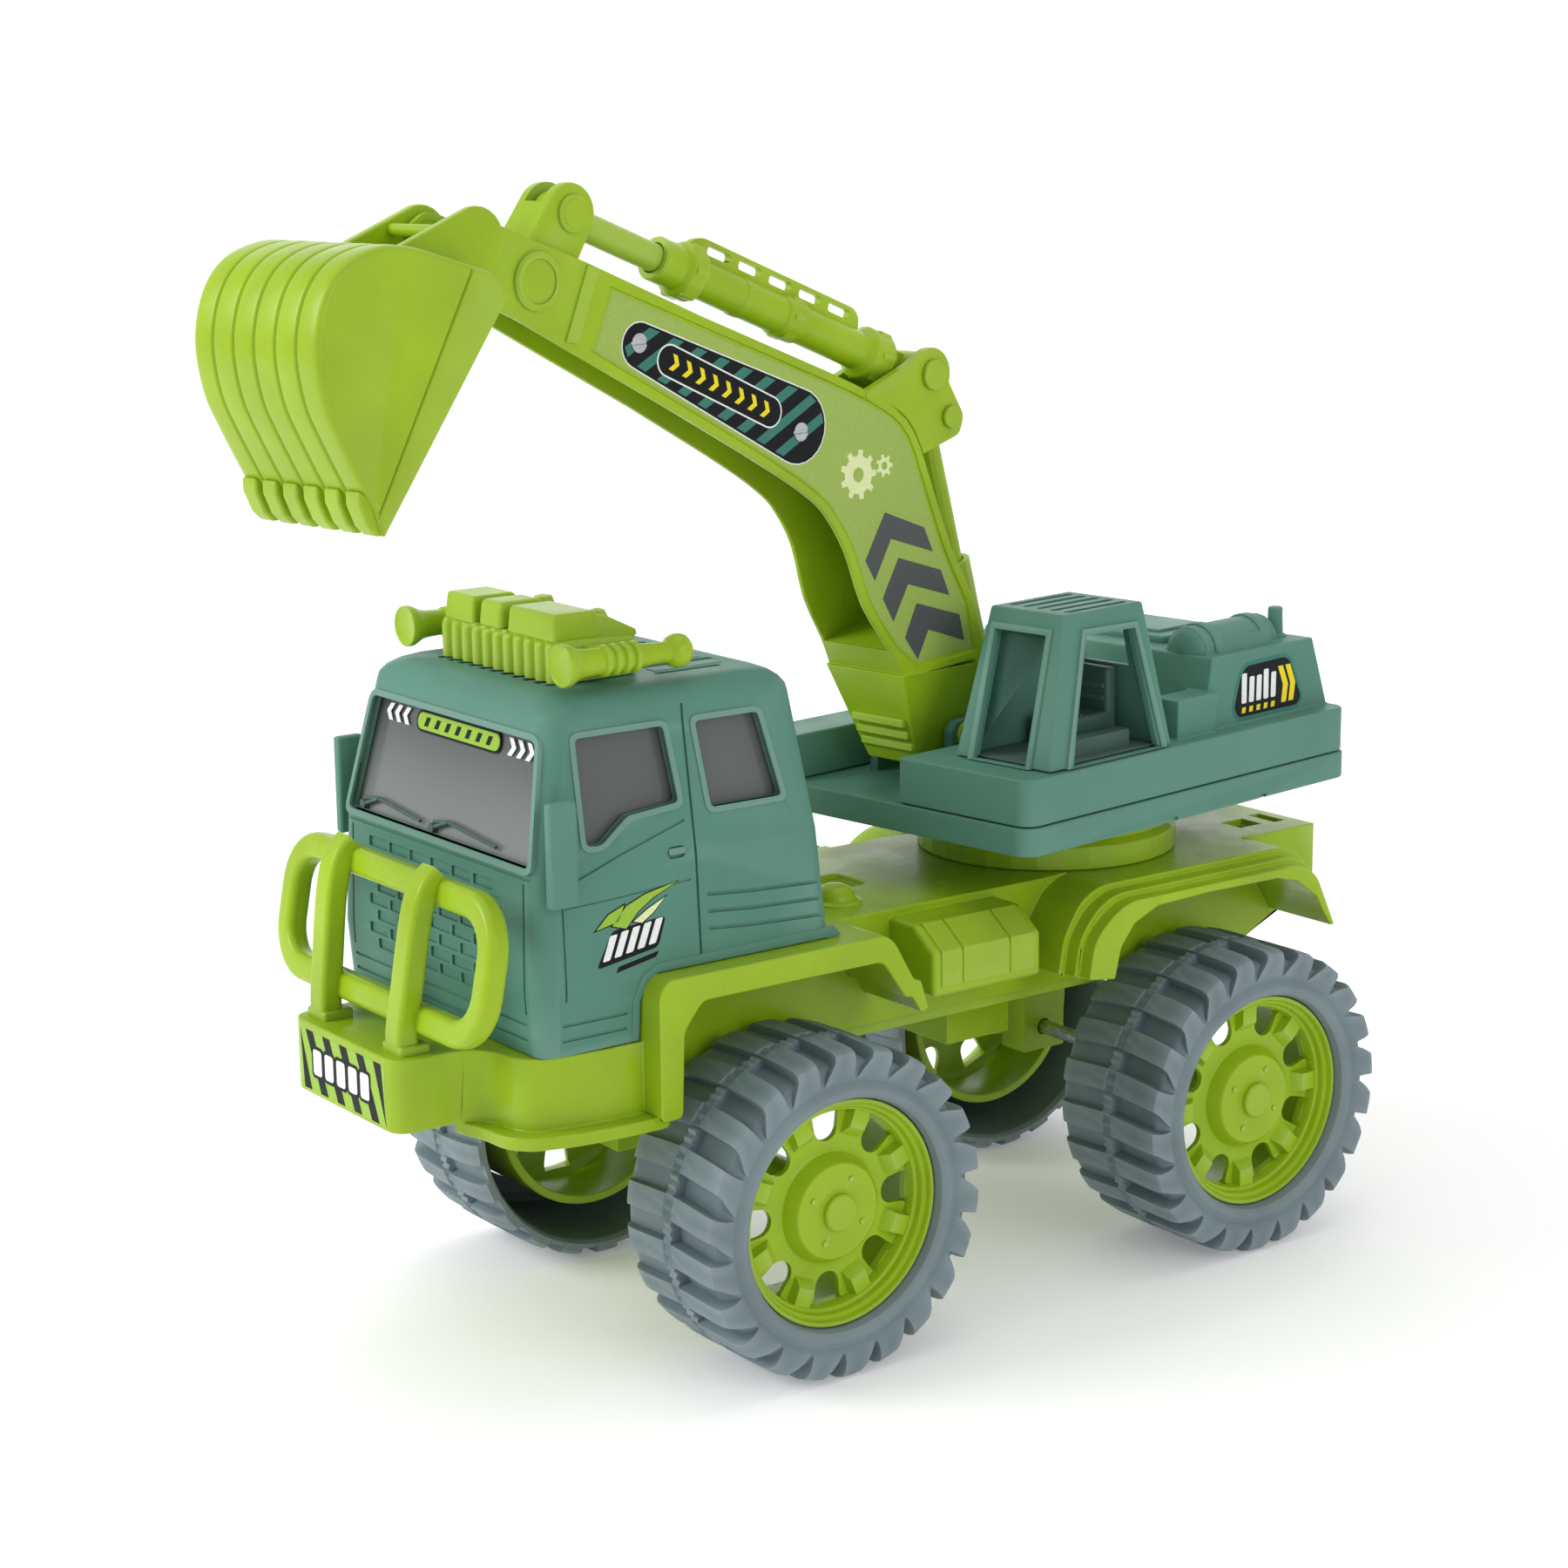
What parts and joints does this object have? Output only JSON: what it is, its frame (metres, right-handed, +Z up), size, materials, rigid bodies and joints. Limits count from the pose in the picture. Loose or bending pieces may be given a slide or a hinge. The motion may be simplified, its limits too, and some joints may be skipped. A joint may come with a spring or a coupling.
{
  "type": "toy excavator",
  "caption": "Toy excavator: slewing turret with a hinged digging arm and toothed bucket, on a rolling truck chassis with driver's cab, bull bar and chunky wheels.",
  "frame": {"origin": "middle of the footprint, at ground level under the tyres", "axes": "+Z up, -Y towards the front of the truck, +X towards the truck's left-hand side; the turret rests slewed 8 degrees about +Z"},
  "size_m": [0.1746, 0.3934, 0.3453],
  "materials": {
    "lime": "satin moulded lime green",
    "teal": "satin moulded muted teal",
    "seat": "matt dark teal",
    "tyre": "matt blue-grey, hollow moulded tread",
    "pane": "smooth dark grey, opaque",
    "steel": "bare bright wire and screws"
  },
  "bodies": {
    "chassis": {"chassis_shell": "lime", "chassis_base": "lime", "base_screw_1": "steel", "base_screw_2": "steel", "base_screw_3": "steel", "base_screw_4": "steel", "bull_bar": "lime", "cab_shell": "teal", "windscreen": "pane", "door_window_left": "pane", "door_window_right": "pane", "rear_window_left": "pane", "rear_window_right": "pane", "roof_light_bar": "lime", "roof_horn_left": "lime", "roof_horn_right": "lime", "mirror_left": "teal", "mirror_right": "teal", "turntable_ring": "lime"},
    "front_wheels": {"front_axle": "steel", "front_rim_left": "lime", "front_rim_right": "lime", "front_tyre_left": "tyre", "front_tyre_right": "tyre"},
    "rear_wheels": {"rear_axle": "steel", "rear_rim_left": "lime", "rear_rim_right": "lime", "rear_tyre_left": "tyre", "rear_tyre_right": "tyre"},
    "turret": {"turret_base": "teal", "swing_washer": "lime", "swing_screw": "steel", "turret_body": "teal", "turret_cab": "teal", "operator_seat": "seat", "boom_pin": "lime", "strut_foot_pin": "lime"},
    "boom_arm": {"boom": "lime", "bucket_pin": "lime", "rocker_pin": "lime", "arm_cylinder_pin": "lime", "strut_top_pin": "lime"},
    "nose_rocker": {"rocker": "lime", "lug_pin": "lime"},
    "scoop": {"bucket": "lime"},
    "arm_barrel": {"arm_cylinder_barrel": "lime"},
    "arm_rod": {"arm_cylinder_rod": "lime"},
    "strut_barrel": {"lift_strut_barrel": "lime"},
    "strut_rod": {"lift_strut_rod": "lime"}
  },
  "joints": [
    {"name": "front_wheel_spin", "type": "hinge", "parent": "chassis", "child": "front_wheels", "pos_m": [0, -0.04602, 0.05], "axis": [1, 0, 0], "continuous": true},
    {"name": "rear_wheel_spin", "type": "hinge", "parent": "chassis", "child": "rear_wheels", "pos_m": [0, 0.12298, 0.05], "axis": [1, 0, 0], "continuous": true},
    {"name": "turret_swing", "type": "hinge", "parent": "chassis", "child": "turret", "pos_m": [0, 0.10398, 0.14], "axis": [0, 0, 1], "continuous": true},
    {"name": "boom_lift", "type": "hinge", "parent": "turret", "child": "boom_arm", "pos_m": [-0.01226, 0.06186, 0.166], "axis": [0.9903, 0.1392, 0], "range_deg": [-18, 16]},
    {"name": "bucket_curl", "type": "hinge", "parent": "boom_arm", "child": "scoop", "pos_m": [0.01439, -0.12777, 0.3308], "axis": [0.9903, 0.1392, 0], "range_deg": [-35, 20]},
    {"name": "rocker_turn", "type": "hinge", "parent": "boom_arm", "child": "nose_rocker", "pos_m": [0.01111, -0.1044, 0.3186], "axis": [0.9903, 0.1392, 0], "range_deg": [-12.67, 7.26]},
    {"name": "arm_cylinder_swing", "type": "hinge", "parent": "boom_arm", "child": "arm_barrel", "pos_m": [-0.011, 0.05295, 0.2818], "axis": [0.9903, 0.1392, 0], "range_deg": [-0.5, 0.84]},
    {"name": "arm_rod_stroke", "type": "slide", "parent": "arm_barrel", "child": "arm_rod", "axis": [0.13, -0.9249, 0.3573], "range_m": [-0.00482, 0.00276]},
    {"name": "lift_strut_swing", "type": "hinge", "parent": "turret", "child": "strut_barrel", "pos_m": [-0.01643, 0.09157, 0.16], "axis": [0.9903, 0.1392, 0], "range_deg": [-16.39, 14.58]},
    {"name": "lift_rod_stroke", "type": "slide", "parent": "strut_barrel", "child": "strut_rod", "axis": [0.0384, -0.2732, 0.9612], "range_m": [-0.00879, 0.00781]}
  ],
  "couplings": [
    {"joint": "rocker_turn", "follows": "bucket_curl", "ratio": 0.35},
    {"joint": "arm_cylinder_swing", "follows": "bucket_curl", "ratio": -0.0219},
    {"joint": "arm_rod_stroke", "follows": "bucket_curl", "m_per_rad": 0.00764},
    {"joint": "lift_strut_swing", "follows": "boom_lift", "ratio": 0.8814},
    {"joint": "lift_rod_stroke", "follows": "boom_lift", "m_per_rad": 0.02712}
  ]
}
